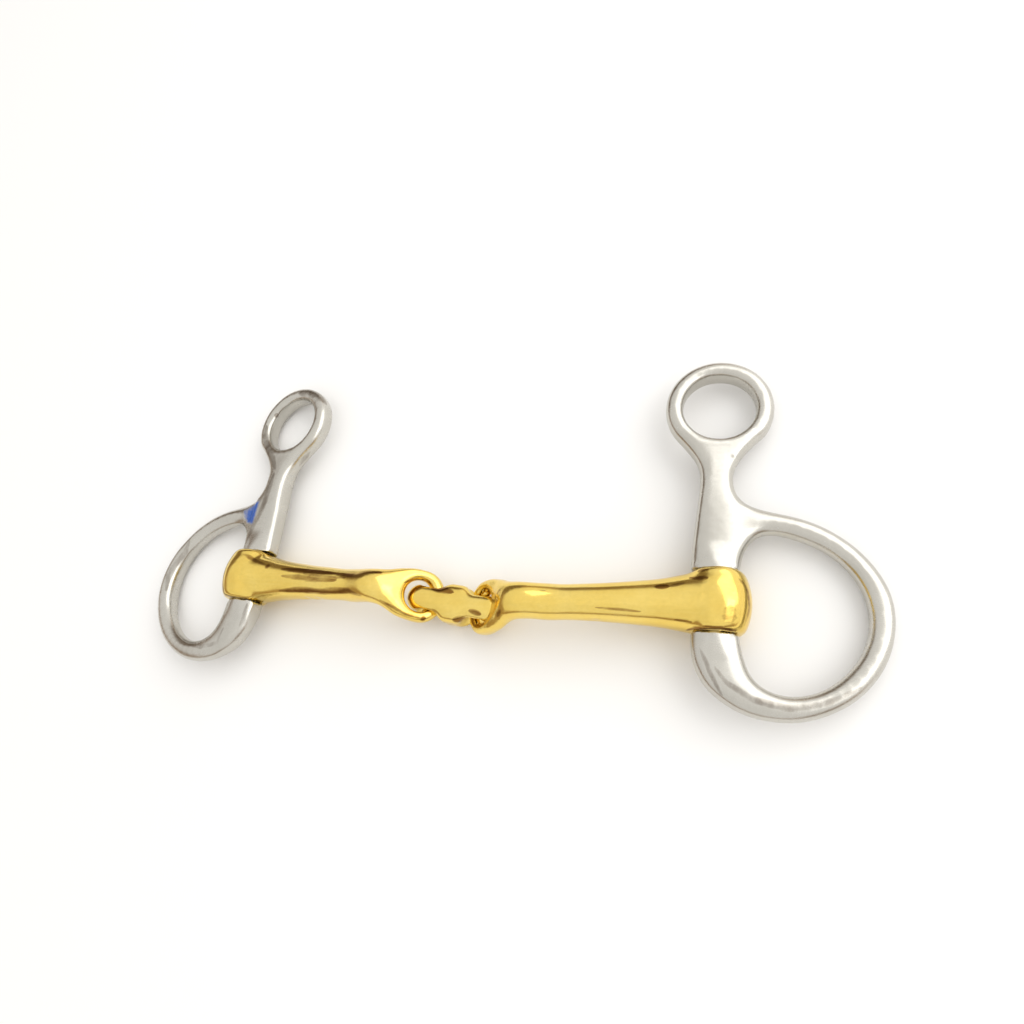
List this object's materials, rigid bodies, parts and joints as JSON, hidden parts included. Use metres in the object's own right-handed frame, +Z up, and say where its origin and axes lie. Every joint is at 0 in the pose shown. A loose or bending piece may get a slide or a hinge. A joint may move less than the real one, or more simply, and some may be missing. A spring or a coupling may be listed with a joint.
{
  "type": "hanging-cheek snaffle bit",
  "caption": "Double-jointed lozenge snaffle bit with hanging cheeks: steel cheek pieces with a small cheekpiece ring and a large rein ring, and a brass jointed mouthpiece.",
  "frame": {"origin": "centre of the bit's box where it lies flat, on the surface it lies on", "axes": "+X along the mouthpiece to the bit's right cheek, +Y up the cheeks to the small cheekpiece rings, +Z up from the surface it lies on"},
  "size_m": [0.2402, 0.1108, 0.0205],
  "materials": {
    "cheek_steel": "satin polished stainless steel",
    "mouth_brass": "polished golden copper alloy"
  },
  "bodies": {
    "link": {"centre_link": "mouth_brass"},
    "left_bar": {"left_cannon": "mouth_brass"},
    "right_bar": {"right_cannon": "mouth_brass"},
    "left_side": {"left_cheek": "cheek_steel"},
    "right_side": {"right_cheek": "cheek_steel"}
  },
  "joints": [
    {"name": "left_eye_hinge", "type": "hinge", "parent": "link", "child": "left_bar", "pos_m": [-0.00743, -0.02497, 0.00565], "axis": [0.0906, 0.9945, -0.0523], "range_deg": [-70, 50]},
    {"name": "right_eye_hinge", "type": "hinge", "parent": "link", "child": "right_bar", "pos_m": [0.00726, -0.02791, 0.0056], "axis": [-0.0332, 0.9986, -0.0401], "range_deg": [-50, 70]},
    {"name": "left_cheek_swivel", "type": "hinge", "parent": "left_bar", "child": "left_side", "pos_m": [-0.07644, -0.01852, 0.00882], "axis": [0.0575, 0.997, -0.0523], "range_deg": [-150, 150]},
    {"name": "right_cheek_swivel", "type": "hinge", "parent": "right_bar", "child": "right_side", "pos_m": [0.07652, -0.02549, 0.00881], "axis": [0, 0.9992, -0.0401], "range_deg": [-150, 150]}
  ]
}
